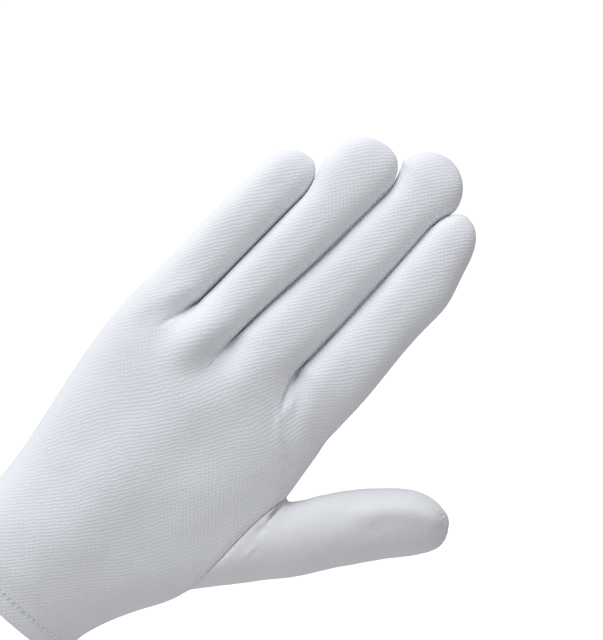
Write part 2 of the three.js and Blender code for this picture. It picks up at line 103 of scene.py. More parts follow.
# Outline of the hand: up, wrist share, left, right, back, palm
HAND_ROWS = [
    (0, 1, 0.985, 1.018, 1, 1),
    (0.085, 1, 0.91, 1.03, 0.95, 0.95),
    (0.168, 1, 0.875, 1.13, 0.89, 0.88),
    (0.251, 0.9, 0.85, 1.245, 0.86, 0.85),
    (0.313, 0.75, 0.842, 1.315, 0.86, 0.87),
    (0.376, 0.6, 0.845, 1.335, 0.87, 0.92),
    (0.459, 0.4, 0.863, 1.26, 0.92, 0.98),
    (0.558, 0.2, 0.89, 1.21, 0.98, 1.03),
    (0.667, 0, 0.915, 1.18, 1.04, 1.05),
    (0.756, 0, 0.955, 1.184, 1.04, 1.02),
    (0.823, 0, 0.969, 1.153, 1.03, 0.98),
    (0.896, 0, 0.974, 1.117, 1, 0.94),
    (0.946, 0, 0.967, 1.088, 0.95, 0.9),
    (1.0, 0, 0.971, 1.082, 0.89, 0.86),
    (1.07, 0, 0.981, 1.07, 0.8, 0.8),
    (1.25, 0, 0.985, 1.02, 0.7, 0.7),
]

# Thickness of a finger along its length: up, back, palm
FINGER_ROWS = [
    (0, 1.22, 1.2),
    (0.12, 1.12, 1.14),
    (0.3, 1.02, 1.08),
    (0.5, 1.04, 1.0),
    (0.72, 0.95, 0.98),
    (0.85, 0.9, 0.98),
    (1, 0.88, 0.95),
]

# Pads of the palm: x, up, wide, high, rise
PALM_PADS = [
    (0.72, 0.54, 0.5, 0.22, 0.196),
    (-0.55, 0.46, 0.36, 0.24, 0.114),
    (0.05, 0.65, 0.3, 0.2, -0.086),
    (-0.1, 0.9, 0.9, 0.07, 0.043),
]

BACK, PALM = -1, 1
COLUMNS = 40
ROWS_CUFF, ROWS_HOLE, ROWS_VALLEY, ROWS_FINGER, ROWS_FREE, ROWS_TIP = 28, 42, 40, 40, 8, 18
HOLE_MIDDLE = (HOLE_LOW + HOLE_HIGH) / 2


def mix(a, b, share):
    return a + (b - a) * share


def smooth(value):
    t = min(1.0, max(0.0, value))
    return t * t * (3 - 2 * t)


def signed_power(value, power):
    return math.copysign(abs(value) ** power, value)


def arch(place, roundness):
    """Height of a rounded section of half width 1, at a place from -1 to 1"""
    return max(0.0, 1 - abs(place) ** roundness) ** (1 / roundness)


def look_up(rows, column, up):
    """A table's column at any place, on a smooth curve through its rows"""
    last = len(rows) - 1
    i = 0
    while i < last - 1 and up > rows[i + 1][0]:
        i += 1

    def slope(k):
        a, b = rows[max(0, k - 1)], rows[min(last, k + 1)]
        return (b[column] - a[column]) / (b[0] - a[0])

    span = rows[i + 1][0] - rows[i][0]
    t = min(1.0, max(0.0, (up - rows[i][0]) / span))
    rise = slope(i) * span * (t ** 3 - 2 * t ** 2 + t)
    fall = slope(i + 1) * span * (t ** 3 - t ** 2)
    return mix(rows[i][column], rows[i + 1][column], smooth(t)) + rise + fall


@lru_cache(maxsize=None)
def hand_at(z, inset):
    """The hand's left and right edge and its thickness on the back and palm, at a height"""
    up = z / PALM_LENGTH
    wrist = look_up(HAND_ROWS, 1, up)
    half_width = mix(KNUCKLE_WIDTH, WRIST_WIDTH, wrist) / 2
    half_thickness = mix(KNUCKLE_THICKNESS, WRIST_THICKNESS, wrist) / 2
    return (-half_width * look_up(HAND_ROWS, 2, up) + inset,
            half_width * look_up(HAND_ROWS, 3, up) - inset,
            half_thickness * look_up(HAND_ROWS, 4, up) - inset,
            half_thickness * look_up(HAND_ROWS, 5, up) - inset)


def seam_x(z):
    """The thumb's seam, up the hand's edge and drawn a little inwards by the thumb, most in its
    upper half"""
    low, high = hand_at(HOLE_LOW, 0)[1], hand_at(HOLE_HIGH, 0)[1]
    up = min(1.0, max(0.0, (z - HOLE_LOW) / (HOLE_HIGH - HOLE_LOW)))
    return mix(low, high, up) - SEAM_BOW * math.sin(math.pi * up ** 2)


def hole_depth(side, z, inset):
    half = (HOLE_HIGH - HOLE_LOW) / 2 - inset
    depth = (HOLE_BACK if side == BACK else HOLE_PALM) - inset
    return depth * arch((z - HOLE_MIDDLE) / half, HOLE_ROUND)


def crotch_height(line, inset):
    return PALM_LENGTH + CROTCHES[line]["rise"] * FINGER_LENGTH - inset


def tip_height(finger, inset):
    return PALM_LENGTH + FINGERS[finger]["tip"] * FINGER_LENGTH - inset


def end_height(finger):
    return FINGERS[finger]["round"] * FINGER_THICKNESS


def shoulder_height(finger):
    return tip_height(finger, 0) - end_height(finger)


ROW_LEFT = hand_at(crotch_height(0, 0), 0)[0]
ROW_RIGHT = hand_at(crotch_height(4, 0), 0)[1]
CROTCH_LINES = [ROW_LEFT]
for finger in FINGERS:
    CROTCH_LINES.append(CROTCH_LINES[-1] + finger["share"] * (ROW_RIGHT - ROW_LEFT))


def left_wide(finger, z):
    """Share of its width that a finger has left in its rounded end"""
    up = (z - shoulder_height(finger)) / end_height(finger)
    return arch(min(1.0, max(0.0, up)), TIP_ROUND)


def free_height(finger):
    """Height from which a finger stands free of a shorter neighbour"""
    beside = [shoulder_height(near) for near in (finger - 1, finger + 1) if 0 <= near < 4]
    return min([shoulder_height(finger) - end_height(finger) / 4] + beside)


def rows_of(inset):
    """Rows of one finger's strip from the hem to the fingertip: zone and place in the zone"""
    low, high = HOLE_LOW + inset, HOLE_HIGH - inset
    rows = [("hand", mix(SHELL_FOOT, low, k / ROWS_CUFF)) for k in range(ROWS_CUFF)]
    for k in range(ROWS_HOLE + 1):
        rows.append(("hole", mix(high, low, (1 + math.cos(math.pi * k / ROWS_HOLE)) / 2)))
    for k in range(1, ROWS_VALLEY + 1):
        share = k / ROWS_VALLEY
        rows.append(("valley", (share + math.sin(math.pi * share / 2)) / 2))
    rows += [("finger", (k / ROWS_FINGER) ** 1.25) for k in range(1, ROWS_FINGER + 1)]
    rows += [("free", k / ROWS_FREE) for k in range(1, ROWS_FREE + 1)]
    rows += [("tip", math.pi * k / (2 * ROWS_TIP)) for k in range(1, ROWS_TIP + 1)]
    return rows


CROTCH_ROW = ROWS_CUFF + ROWS_HOLE + ROWS_VALLEY
ROW_COUNT = len(rows_of(0))


def row_height(row, finger, across, inset):
    zone, place = row
    if zone in ("hand", "hole"):
        return place
    crotch = mix(crotch_height(finger, inset), crotch_height(finger + 1, inset), across)
    free, shoulder = free_height(finger), shoulder_height(finger)
    if zone == "valley":
        return mix(HOLE_HIGH - inset, crotch, place)
    if zone == "finger":
        return mix(crotch, free, place)
    if zone == "free":
        return mix(free, shoulder, place)
    return mix(shoulder, tip_height(finger, inset), math.sin(place) ** (2 / TIP_ROUND))


def swell(share, z, neighbour):
    """How far a finger swells sideways, above a shorter neighbour's rounded end"""
    if share == 0:
        return 0
    amount = share * FINGER_THICKNESS
    width = FINGERS[neighbour]["share"] * (ROW_RIGHT - ROW_LEFT)
    room = (1 - left_wide(neighbour, z)) * (width / 2) * SWELL_ROOM
    return amount * (1 - math.exp(-room / amount))


def finger_line(line, z):
    crotch = CROTCHES[line]
    up = (z - crotch_height(line, 0)) / FINGER_LENGTH
    return CROTCH_LINES[line] + crotch["sway"] * KNUCKLE_WIDTH * smooth(up / crotch["by"])


def finger_edges(finger, z, inset):
    """The two edges of a finger on the seam, and its right edge without the taper"""
    row = FINGERS[finger]

    def opened(line):
        return smooth((z - crotch_height(line, inset)) / OPENING)

    gap_left = inset if finger == 0 else opened(finger) * (FINGER_GAP / 2 + inset)
    gap_right = inset if finger == 3 else opened(finger + 1) * (FINGER_GAP / 2 + inset)
    up = (z - PALM_LENGTH) / (tip_height(finger, 0) - PALM_LENGTH)
    narrowed = smooth((up - TAPER_START) / (TAPER_END - TAPER_START))
    left = finger_line(finger, z) + gap_left - swell(row["left"], z, finger - 1)
    untapered = finger_line(finger + 1, z) - gap_right
    tapered = row["taper"] * FINGER_THICKNESS * narrowed
    return left, untapered + swell(row["right"], z, finger + 1) - tapered, untapered


def hand_line(line, z, inset):
    """The line between two strips on the hand, below the crotches"""
    left, right = hand_at(z, inset)[:2]
    if HOLE_LOW <= z <= HOLE_HIGH:
        right = seam_x(z) - THUMB_GAP / 2
    share = (CROTCH_LINES[line] - ROW_LEFT) / (ROW_RIGHT - ROW_LEFT)
    below = (crotch_height(line, inset) - z) / VALLEY_BACK
    drift = CROTCHES[line]["drift"] * KNUCKLE_WIDTH
    bent = drift * smooth(below) * (1 - smooth((below - 1) / 2))
    at_hand = mix(left, right, share)
    if line in (0, 4):
        return at_hand
    return mix(CROTCH_LINES[line], at_hand, smooth(below / VALLEY_FADE)) + bent


def hand_height(side, x, z, inset, in_hole, finger_left=None, finger_right=None):
    """Height of the hand's rounded section above the seam. Above the crotch it ends at the outer
    finger's own edge."""
    left, right, back, palm = hand_at(z, inset)
    left = left if finger_left is None else finger_left
    right = right if finger_right is None else finger_right
    if in_hole:
        right = seam_x(z) - THUMB_GAP / 2
    middle = (left + right) / 2
    thickness = back if side == BACK else palm
    roundness = HAND_BACK_ROUND if side == BACK else HAND_PALM_ROUND
    place = (x - middle) / (right - middle)
    edge_fade = 1 - min(1.0, abs(place)) ** PAD_FADE
    if side == BACK:
        place += HAND_CREST * (1 - place ** 2)
    if in_hole and place > 0:
        place *= arch(hole_depth(side, z, inset) / thickness, roundness)
    height = thickness * arch(place, roundness)
    if side == BACK:
        return height
    for pad_x, pad_up, wide, high, rise in PALM_PADS:
        dx = (x - pad_x * KNUCKLE_WIDTH / 2) / (wide * KNUCKLE_WIDTH / 2)
        dz = (z / PALM_LENGTH - pad_up) / high
        height += rise * KNUCKLE_THICKNESS * math.exp(-(dx ** 2 + dz ** 2)) * edge_fade
    return height


def fold_at(side, z, crotch):
    """How far the fold between two fingers has set in: nothing on the hand, all at the crotch"""
    length = VALLEY_BACK if side == BACK else VALLEY_PALM
    return 1 - arch(max(0.0, 1 - max(0.0, crotch - z) / length), VALLEY_ROUND)


def shell_point(side, finger, row, column, inset):
    zone, place_in_zone = row
    spec = FINGERS[finger]
    theta = math.pi * column / COLUMNS
    across = column / COLUMNS
    place = -signed_power(math.cos(theta), 2 / FINGER_ROUND)
    finger_arch = abs(math.sin(theta)) ** (2 / FINGER_ROUND)
    z = row_height(row, finger, across, inset)
    crotch = mix(crotch_height(finger, inset), crotch_height(finger + 1, inset), across)
    up = max(0.0, (z - crotch) / (tip_height(finger, inset) - crotch))
    side_column = 1 if side == BACK else 2
    half = spec["thick"] * FINGER_THICKNESS / 2
    finger_height = (half * look_up(FINGER_ROWS, side_column, up) - inset) * finger_arch
    blend = smooth((z - crotch + VALLEY_PALM) / (VALLEY_PALM + FINGER_BLEND))
    shrink = 1.0
    left_end = right_end = None
    if zone in ("hand", "hole", "valley"):
        spacing = across
        if finger == 0:
            spacing = 1 - math.cos(theta / 2)
        if finger == 3:
            spacing = math.sin(theta / 2)
        turned = place_in_zone ** 2 if zone == "valley" else 0
        share = mix(spacing, (1 + place) / 2, turned)
        x = mix(hand_line(finger, z, inset), hand_line(finger + 1, z, inset), share)
    else:
        left, right, untapered = finger_edges(finger, z, inset)
        left_end = left if finger == 0 else None
        right_end = right if finger == 3 else None
        apex = (left + right) / 2
        if zone == "tip":
            shrink = max(0.0, math.cos(place_in_zone)) ** (2 / TIP_ROUND)
            apex = mix(left, untapered, (1 + spec["lean"]) / 2)
        x = apex + (mix(left, right, (1 + place) / 2) - apex) * shrink
    own_edge = (finger == 0 and place < 0) or (finger == 3 and place > 0)
    fold = fold_at(side, z, crotch)
    valley_arch = abs(math.sin(theta)) ** mix(VALLEY_SOFT, 2 / FINGER_ROUND, fold)
    pressed = mix(1.0, 1.0 if own_edge else valley_arch, fold)
    hand = 0.0
    if blend < 1:
        hand = hand_height(side, x, z, inset, zone == "hole", left_end, right_end) * pressed
    height = mix(hand, finger_height, blend) * shrink
    lean = spec["bend"] * FINGER_THICKNESS * up ** 2
    return Vector((x, lean + side * (height + SEAM_GAP / 2), z))


RIM_ANGLE = math.radians(55)


def cloth_mesh(name, outer, inner, quads, corner_uvs):
    """A closed wall of cloth from its two faces, which share one list of quads, with a rim along
    every open edge. Each quad's corners carry their place on the cloth in millimetres. Also gives
    the numbers of the points that the quads use, in the order of the piece's vertices."""
    used = sorted({corner for quad in quads for corner in quad})
    number = {corner: k for k, corner in enumerate(used)}
    outer = [outer[corner] for corner in used]
    inner = [inner[corner] for corner in used]
    quads = [[number[corner] for corner in quad] for quad in quads]
    count = len(used)
    open_edges = {}
    for quad in quads:
        for a, b in zip(quad, quad[1:] + quad[:1]):
            if (b, a) in open_edges:
                del open_edges[(b, a)]
            elif a != b:
                open_edges[(a, b)] = True
    faces, uvs = [], []
    for quad, places in zip(quads, corner_uvs):
        corners, kept = [], []
        for corner, place in zip(quad, places):
            if corner not in corners:
                corners.append(corner)
                kept.append(place)
        if len(corners) < 3:
            continue
        faces.append(corners)
        uvs.append(kept)
        faces.append([corner + count for corner in reversed(corners)])
        uvs.append(list(reversed(kept)))
    for a, b in open_edges:
        faces.append([b, a, a + count, b + count])
        uvs.append([(0, 0)] * 4)
    mesh = bpy.data.meshes.new(name)
    mesh.from_pydata([point * MM for point in outer + inner], [], faces)
    layer = mesh.uv_layers.new(name="cloth")
    flat = [place for face in uvs for place in face]
    layer.data.foreach_set("uv", [number for place in flat for number in place])
    mesh.polygons.foreach_set("use_smooth", [True] * len(mesh.polygons))
    mesh.validate()
    mesh.set_sharp_from_angle(angle=RIM_ANGLE)
    piece = bpy.data.objects.new(name, mesh)
    bpy.context.scene.collection.objects.link(piece)
    return piece, used


def shape_cloth(piece, used, rise_at):
    """Moves both faces of the cloth along the normals of its outer face, so that the wall keeps
    its thickness"""
    vertices = piece.data.vertices
    count = len(vertices) // 2
    normals = [Vector() for _ in range(count)]
    for face in piece.data.polygons:
        if max(face.vertices) < count:
            for corner in face.vertices:
                normals[corner] += face.normal * face.area
    moves = []
    for k in range(count):
        normal = normals[k].normalized()
        moves.append(normal * (rise_at(vertices[k].co / MM, normal, used[k]) * MM))
    for k, move in enumerate(moves):
        vertices[k].co += move
        vertices[k + count].co += move
    piece.data.update()


def fold_rise(x, z, folds):
    """Height of the folds and creases at a place. Each runs along its points and fades out
    towards its ends, and a crease has a negative height."""
    total = 0.0
    for points, width, rise, start_fade, end_fade in folds:
        nearest, share = 1e9, 0.0
        reach = len(points) - 1
        for k in range(reach):
            ax, az = points[k]
            bx, bz = points[k + 1]
            dx, dz = bx - ax, bz - az
            t = min(1.0, max(0.0, ((x - ax) * dx + (z - az) * dz) / (dx * dx + dz * dz)))
            away = math.hypot(x - ax - t * dx, z - az - t * dz)
            if away < nearest:
                nearest, share = away, (k + t) / reach
        if nearest < 3 * width:
            fade = 1.0
            if start_fade:
                fade *= smooth(share / start_fade)
            if end_fade:
                fade *= smooth((1 - share) / end_fade)
            total += rise * fade * math.exp(-(nearest / width) ** 2)
    return total


def swell_rise(x, z, swells):
    """Height of broad round swellings: place, half width, half height, rise"""
    return sum(rise * math.exp(-((x - at_x) / wide) ** 2 - ((z - at_z) / high) ** 2)
               for at_x, at_z, wide, high, rise in swells)


def slack(x, y, z, size, seed):
    """Unevenness of cloth that isn't pulled tight"""
    return noise.noise(Vector((x / size + seed, y / size, z / size)))


# Creases and folds on the back of the hand: points, half width, rise, fade at either end
BACK_FOLDS = [
    (((20.6, 134.5), (21.0, 130.5), (21.8, 126.8), (23.3, 123.0), (25.3, 119.8), (27.4, 117.0)),
     0.65, -1.4, 0.15, 0.4),
    (((24.0, 131.0), (25.2, 126.0), (27.6, 121.5), (30.8, 118.0)), 1.7, 0.8, 0.35, 0.4),
    (((25.8, 117.6), (28.7, 113.7), (31.9, 111.7), (37.3, 109.8)), 0.85, 0.6, 0.3, 0.35),
    (((46.5, 106.5), (41.5, 107.2), (36.0, 108.0)), 1.6, -0.5, 0.4, 0.4),
    (((-21.8, 126.2), (-23.0, 121.4), (-23.8, 116.2), (-24.7, 110.8), (-26.4, 105.4)),
     1.0, -0.6, 0.15, 0.5),
    (((-4.9, 126.0), (-5.2, 121.5), (-6.8, 115.5), (-9.0, 110.0)), 1.5, -0.2, 0.25, 0.5),
    (((-1.2, 122.0), (-2.4, 115.5), (-5.0, 108.5)), 2.2, 0.7, 0.35, 0.4),
]
BACK_SWELLS = [
    (-12.6, 117.5, 6.4, 11.0, 3.0),
    (8.0, 122.0, 9.0, 14.0, 0.9),
    (31.0, 127.0, 8.0, 11.0, 0.5),
    (-26.5, 116.5, 4.5, 10.0, 1.0),
    (1.5, 58.0, 14.0, 52.0, 2.6),
    (27.0, 82.0, 12.0, 24.0, 1.2),
]
# The palm's creases, where a hand bends the cloth
PALM_FOLDS = [
    (((33.0, 112.0), (22.0, 100.0), (13.0, 84.0), (9.0, 62.0), (13.0, 40.0)), 3.0, -0.9, 0.2, 0.3),
    (((-36.0, 106.0), (-18.0, 99.0), (2.0, 99.0), (22.0, 108.0)), 2.4, -0.6, 0.2, 0.25),
    (((-34.0, 92.0), (-20.0, 90.0), (-4.0, 93.0)), 1.8, -0.3, 0.3, 0.4),
    (((-28.0, 20.0), (-8.0, 23.0), (14.0, 21.0)), 2.2, -0.4, 0.3, 0.3),
    (((-37.0, 146.0), (-26.0, 147.0)), 1.6, -0.3, 0.3, 0.3),
    (((-20.0, 155.0), (-8.0, 156.0)), 1.6, -0.3, 0.3, 0.3),
    (((-2.0, 160.0), (14.0, 161.0)), 1.6, -0.3, 0.3, 0.3),
    (((20.0, 155.0), (36.0, 153.0)), 1.6, -0.3, 0.3, 0.3),
]
SIDE_SINK, SIDE_ROLL, PUCKER_PITCH = 0.3, 0.8, 3.3
SEAM_ROLL = 1.1
SEAM_SINK = 0.3
SEAM_FLAT = 0.2
GATHER_PITCH = 3.1


def thumb_seam_sink(x, z):
    """The cloth rolls down into the thumb's seam, a little gathered by the stitches"""
    inside = smooth((z - HOLE_LOW + 1) / 4) * smooth((HOLE_HIGH + 1 - z) / 4)
    near = math.exp(-((seam_x(z) - x) / SEAM_ROLL) ** 2)
    gathers = 1 + 0.25 * math.sin(2 * math.pi * z / GATHER_PITCH)
    return -SEAM_SINK * near * gathers * inside


def side_seam_sink(points, corner):
    """The seams down the glove's two outer sides lie in a fine groove, with small puckers. The
    seams between fingers lie hidden where the fingers touch."""
    strip, column = divmod(corner, COLUMNS + 1)
    finger, row = divmod(strip, ROW_COUNT)
    if finger in (1, 2) or row == ROW_COUNT - 1:
        return 0.0
    edge = 0 if finger == 0 else COLUMNS
    if edge and ROWS_CUFF <= row <= ROWS_CUFF + ROWS_HOLE:
        return 0.0
    away = (points[corner] - points[strip * (COLUMNS + 1) + edge]).length
    puckers = 1 + 0.3 * math.sin(2 * math.pi * points[corner].z / PUCKER_PITCH)
    return -SIDE_SINK * puckers * math.exp(-(away / SIDE_ROLL) ** 2)


def back_rise(points, place, normal, corner):
    x, y, z = place
    flat = smooth(abs(normal.y) / 0.45)
    rise = swell_rise(x, z, BACK_SWELLS) + 0.45 * slack(x, y, z, 22, 3)
    rise += 0.16 * slack(x, y, z, 8, 9)
    foot = smooth((z - SHELL_FOOT) / 6)
    return (rise * flat * foot + fold_rise(x, z, BACK_FOLDS) * smooth(abs(normal.y) / 0.15)
            + thumb_seam_sink(x, z) * smooth(abs(normal.y) / SEAM_FLAT)
            + side_seam_sink(points, corner) * foot)


def palm_rise(points, place, normal, corner):
    x, y, z = place
    flat = smooth(abs(normal.y) / 0.45)
    foot = smooth((z - SHELL_FOOT) / 6)
    rise = 0.5 * slack(x, y, z, 20, 31) + 0.16 * slack(x, y, z, 8, 17)
    rise += fold_rise(x, z, PALM_FOLDS)
    return (rise * flat * foot + thumb_seam_sink(x, z) * smooth(abs(normal.y) / SEAM_FLAT)
            + side_seam_sink(points, corner) * foot)


def shell_index(finger, row, column):
    """Strips share their side column up to the crotch, and a finger's last row is one point"""
    if column == COLUMNS and finger < 3 and row <= CROTCH_ROW:
        return shell_index(finger + 1, row, 0)
    return (finger * ROW_COUNT + row) * (COLUMNS + 1) + (0 if row == ROW_COUNT - 1 else column)


# Where the hand turns the back's knit: place, reach, turn in degrees
TWISTS = [
    (11.0, 108.0, 25.0, 13.0),
    (35.0, 114.0, 14.0, 24.0),
]
# Where the knit is pulled so that its stitches show as lines of their own: place, half width,
# half height
PULLS = [
    (33.0, 74.0, 15.0, 26.0),
    (-26.0, 96.0, 7.0, 20.0),
    (-12.0, 186.0, 6.0, 12.0),
]


def twisted(across, up, point):
    for at_x, at_z, reach, turn in TWISTS:
        dx, dz = point.x - at_x, point.z - at_z
        angle = -math.radians(turn) * math.exp(-(dx ** 2 + dz ** 2) / reach ** 2)
        across += dx * (math.cos(angle) - 1) - dz * math.sin(angle)
        up += dx * math.sin(angle) + dz * (math.cos(angle) - 1)
    return across, up


def cloth_places(side, points):
    """Place of each point on the flat cloth: across the strip by arc length from its middle, and
    up it by height, then by arc length over the rounded fingertips. The strips' middles keep
    their distance above the hand."""
    places = {}
    ups = {}
    half = COLUMNS // 2
    last_hand = ROWS_CUFF + ROWS_HOLE
    middles = {}
    for row in range(ROW_COUNT):
        arcs = []
        for finger in range(4):
            start = (finger * ROW_COUNT + row) * (COLUMNS + 1)
            arc = [0.0]
            for column in range(COLUMNS):
                step = points[start + column + 1] - points[start + column]
                arc.append(arc[-1] + math.hypot(step.x, step.y))
            arcs.append(arc)
        centre = arcs[0][-1] + arcs[1][-1]
        reach = 0.0
        for finger in range(4):
            start = (finger * ROW_COUNT + row) * (COLUMNS + 1)
            x = points[start + half].x
            if row <= last_hand:
                middle = reach + arcs[finger][half] - centre
                middles[finger] = (middle, x)
            else:
                middle = middles[finger][0] + x - middles[finger][1]
            reach += arcs[finger][-1]
            for column in range(COLUMNS + 1):
                across = middle + arcs[finger][column] - arcs[finger][half]
                point = points[start + column]
                up = point.z
                if row >= ROW_COUNT - ROWS_TIP:
                    step = point - points[start + column - (COLUMNS + 1)]
                    up = ups[finger, row - 1, column] + step.length
                ups[finger, row, column] = up
                place = twisted(across, up, point) if side == BACK else (across, up)
                places[finger, row, column] = place
    return places


def knit_shell(name, side):
    outer, inner = [], []
    for points, inset in ((outer, 0.0), (inner, CLOTH)):
        rows = rows_of(inset)
        for finger in range(4):
            for row in rows:
                for column in range(COLUMNS + 1):
                    points.append(shell_point(side, finger, row, column, inset))
    places = cloth_places(side, outer)
    quads, uvs = [], []
    for finger in range(4):
        for row in range(ROW_COUNT - 1):
            for column in range(COLUMNS):
                corners = [(row, column), (row, column + 1), (row + 1, column + 1),
                           (row + 1, column)]
                if side == PALM:
                    corners.reverse()
                quads.append([shell_index(finger, *corner) for corner in corners])
                uvs.append([places[(finger, *corner)] for corner in corners])
    piece, used = cloth_mesh(name, outer, inner, quads, uvs)
    pulled = piece.data.attributes.new("pulled", "FLOAT", "POINT")
    for vertex in piece.data.vertices:
        x, _, z = vertex.co / MM
        pulled.data[vertex.index].value = min(1.0, swell_rise(x, z, [(*pull, 1.0)
                                                                     for pull in PULLS]))
    rise = back_rise if side == BACK else palm_rise
    shape_cloth(piece, used, lambda *at: rise(outer, *at))
    return piece


def node(tree, kind, inputs=None, **settings):
    made = tree.nodes.new(kind)
    for key, value in settings.items():
        setattr(made, key, value)
    for key, value in (inputs or {}).items():
        if isinstance(value, bpy.types.NodeSocket):
            tree.links.new(value, made.inputs[key])
        else:
            made.inputs[key].default_value = value
    return made


def maths(tree, operation, a, b=0.0, c=0.0):
    return node(tree, "ShaderNodeMath", {0: a, 1: b, 2: c}, operation=operation).outputs[0]


# Fine knit, as on the photograph: rows of small stitches that run across the glove on a slant
ROW_PITCH = 1.27
STITCH_PITCH = 1.36
ROWS_FACE = math.radians(146)
STITCHES_FACE = math.radians(47)
# The knit's white, and the painted shade laid into its hollows between rows and stitches
KNIT_WHITE = (0.83, 0.84, 0.875)
KNIT_PAINTED_SHADE = (0.75, 0.76, 0.80)
KNIT_DEPTH = 0.0001


def knitted_cotton(name, row_pitch, stitch_pitch, rows_face, stitches_face, white, shade, depth,
                   wander):
    material = bpy.data.materials.new(name)
    material.use_nodes = True
    tree = material.node_tree
    shader = tree.nodes["Principled BSDF"]
    uv = node(tree, "ShaderNodeUVMap", uv_map="cloth")
    # The rows wander a little, as on cloth that a hand has stretched
    drift = node(tree, "ShaderNodeTexNoise", {"Vector": uv.outputs[0], "Scale": 0.035,
                                              "Detail": 3.5, "Roughness": 0.55})
    wave = node(tree, "ShaderNodeVectorMath", {0: drift.outputs["Color"], 1: (0.5, 0.5, 0.5)},
                operation="SUBTRACT")
    swayed = node(tree, "ShaderNodeVectorMath", {0: wave.outputs[0], 1: (wander,) * 3,
                                                 2: uv.outputs[0]}, operation="MULTIPLY_ADD")
    # and each stitch sits a little out of line
    shake = node(tree, "ShaderNodeTexNoise", {"Vector": uv.outputs[0], "Scale": 0.45,
                                              "Detail": 1.0})
    moved = node(tree, "ShaderNodeVectorMath", {0: shake.outputs["Color"], 1: (1.1,) * 3,
                                                2: swayed.outputs[0]}, operation="MULTIPLY_ADD")
    phases = []
    for pitch, face in ((row_pitch, rows_face), (stitch_pitch, stitches_face)):
        turns = 2 * math.pi / pitch
        phase = node(tree, "ShaderNodeVectorMath",
                     {0: moved.outputs[0], 1: (turns * math.cos(face), turns * math.sin(face), 0)},
                     operation="DOT_PRODUCT").outputs["Value"]
        phases.append(maths(tree, "MULTIPLY_ADD", maths(tree, "COSINE", phase), 0.5, 0.5))
    ridge, stitch = phases
    pulled = node(tree, "ShaderNodeAttribute", attribute_name="pulled").outputs["Fac"]
    lines = node(tree, "ShaderNodeMix", {"Factor": pulled, "A": ridge, "B": stitch}).outputs[0]
    height = maths(tree, "MULTIPLY_ADD", maths(tree, "MULTIPLY", ridge, stitch), 0.7,
                   maths(tree, "MULTIPLY", lines, 0.3))
    fuzz = node(tree, "ShaderNodeTexNoise", {"Vector": uv.outputs[0], "Scale": 3.2,
                                             "Detail": 3.0})
    rough_height = maths(tree, "MULTIPLY_ADD", fuzz.outputs[0], 0.5, height)
    patches = node(tree, "ShaderNodeTexNoise", {"Vector": uv.outputs[0], "Scale": 0.06,
                                                "Detail": 3.0})
    clear = node(tree, "ShaderNodeMapRange", {0: patches.outputs[0], 1: 0.35, 2: 0.65, 3: 0.2,
                                              4: 1.0}).outputs[0]
    # Painted shade: darker colour where the knit is low, between its rows and stitches, clearer in
    # some patches
    painted_knit_shading = maths(tree, "MULTIPLY_ADD", maths(tree, "SUBTRACT", height, 0.5), clear, 0.5)
    colour = node(tree, "ShaderNodeMix", {"Factor": painted_knit_shading, "A": (*shade, 1), "B": (*white, 1)},
                  data_type="RGBA", clamp_factor=True)
    tree.links.new(colour.outputs["Result"], shader.inputs["Base Color"])
    bump = node(tree, "ShaderNodeBump", {"Height": rough_height, "Distance": depth,
                                         "Strength": 1.0})
    tree.links.new(bump.outputs[0], shader.inputs["Normal"])
    shader.inputs["Roughness"].default_value = 0.92
    shader.inputs["Specular IOR Level"].default_value = 0.2
    shader.inputs["Sheen Weight"].default_value = 0.12
    shader.inputs["Sheen Roughness"].default_value = 0.6
    return material


knit = knitted_cotton("knitted_cotton", ROW_PITCH, STITCH_PITCH, ROWS_FACE, STITCHES_FACE,
                      KNIT_WHITE, KNIT_PAINTED_SHADE, KNIT_DEPTH, 3.0)
for name, side, solid in (("knit_back", BACK, "back_panel"), ("knit_palm", PALM, "palm_panel")):
    shell = knit_shell(name, side)
    shell.data.materials.append(knit)
    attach(shell, "root")
    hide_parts(solid)


# ---------------------------------------------------------------------------------------------
# The thumb: a closed tube of smooth cotton, sewn with its open foot into the hole at the hand's
# side, so that its first ring has the hole's outline. Its tip is closed by a fine seam.
THUMB_REACH, THUMB_SPLAY = 76.8, math.radians(43.7)
THUMB_WIDTH, THUMB_THICKNESS = 26.0, 21.0
THUMB_FORWARD, THUMB_CURL = 5.3, 1.5
THUMB_AROUND = 216
THUMB_STEPS = 150

# Sections of the thumb: along, side, turn in degrees, wide, deep
THUMB_ROWS = [
    (0.04, 0.04, 2.8, 1.8, 0.97),
    (0.136, 0.012, -0.7, 1.658, 1),
    (0.239, -0.031, -5.2, 1.542, 1.03),
    (0.385, -0.084, -13.3, 1.389, 1.06),
    (0.545, -0.147, -22, 1.19, 1.05),
    (0.671, -0.18, -25.3, 1.09, 1.02),
    (0.779, -0.187, -26, 1, 0.98),
    (0.877, -0.15, -27, 0.85, 0.88),
    (0.942, -0.09, -26, 0.65, 0.69),
    (0.984, -0.03, -24, 0.37, 0.4),
    (1, 0.01, -24, 0, 0),
]


def thumb_ring_at_hole(inset):
    half = (HOLE_HIGH - HOLE_LOW) / 2 - inset
    ring = []
    for k in range(THUMB_AROUND):
        angle = 2 * math.pi * k / THUMB_AROUND
        z = HOLE_MIDDLE + half * signed_power(math.cos(angle), 2 / HOLE_ROUND)
        side = BACK if math.sin(angle) >= 0 else PALM
        depth = (HOLE_BACK if side == BACK else HOLE_PALM) - inset
        y = side * depth * abs(math.sin(angle)) ** (2 / HOLE_ROUND)
        ring.append(Vector((seam_x(z) + THUMB_GAP / 2, y, z)))
    return ring


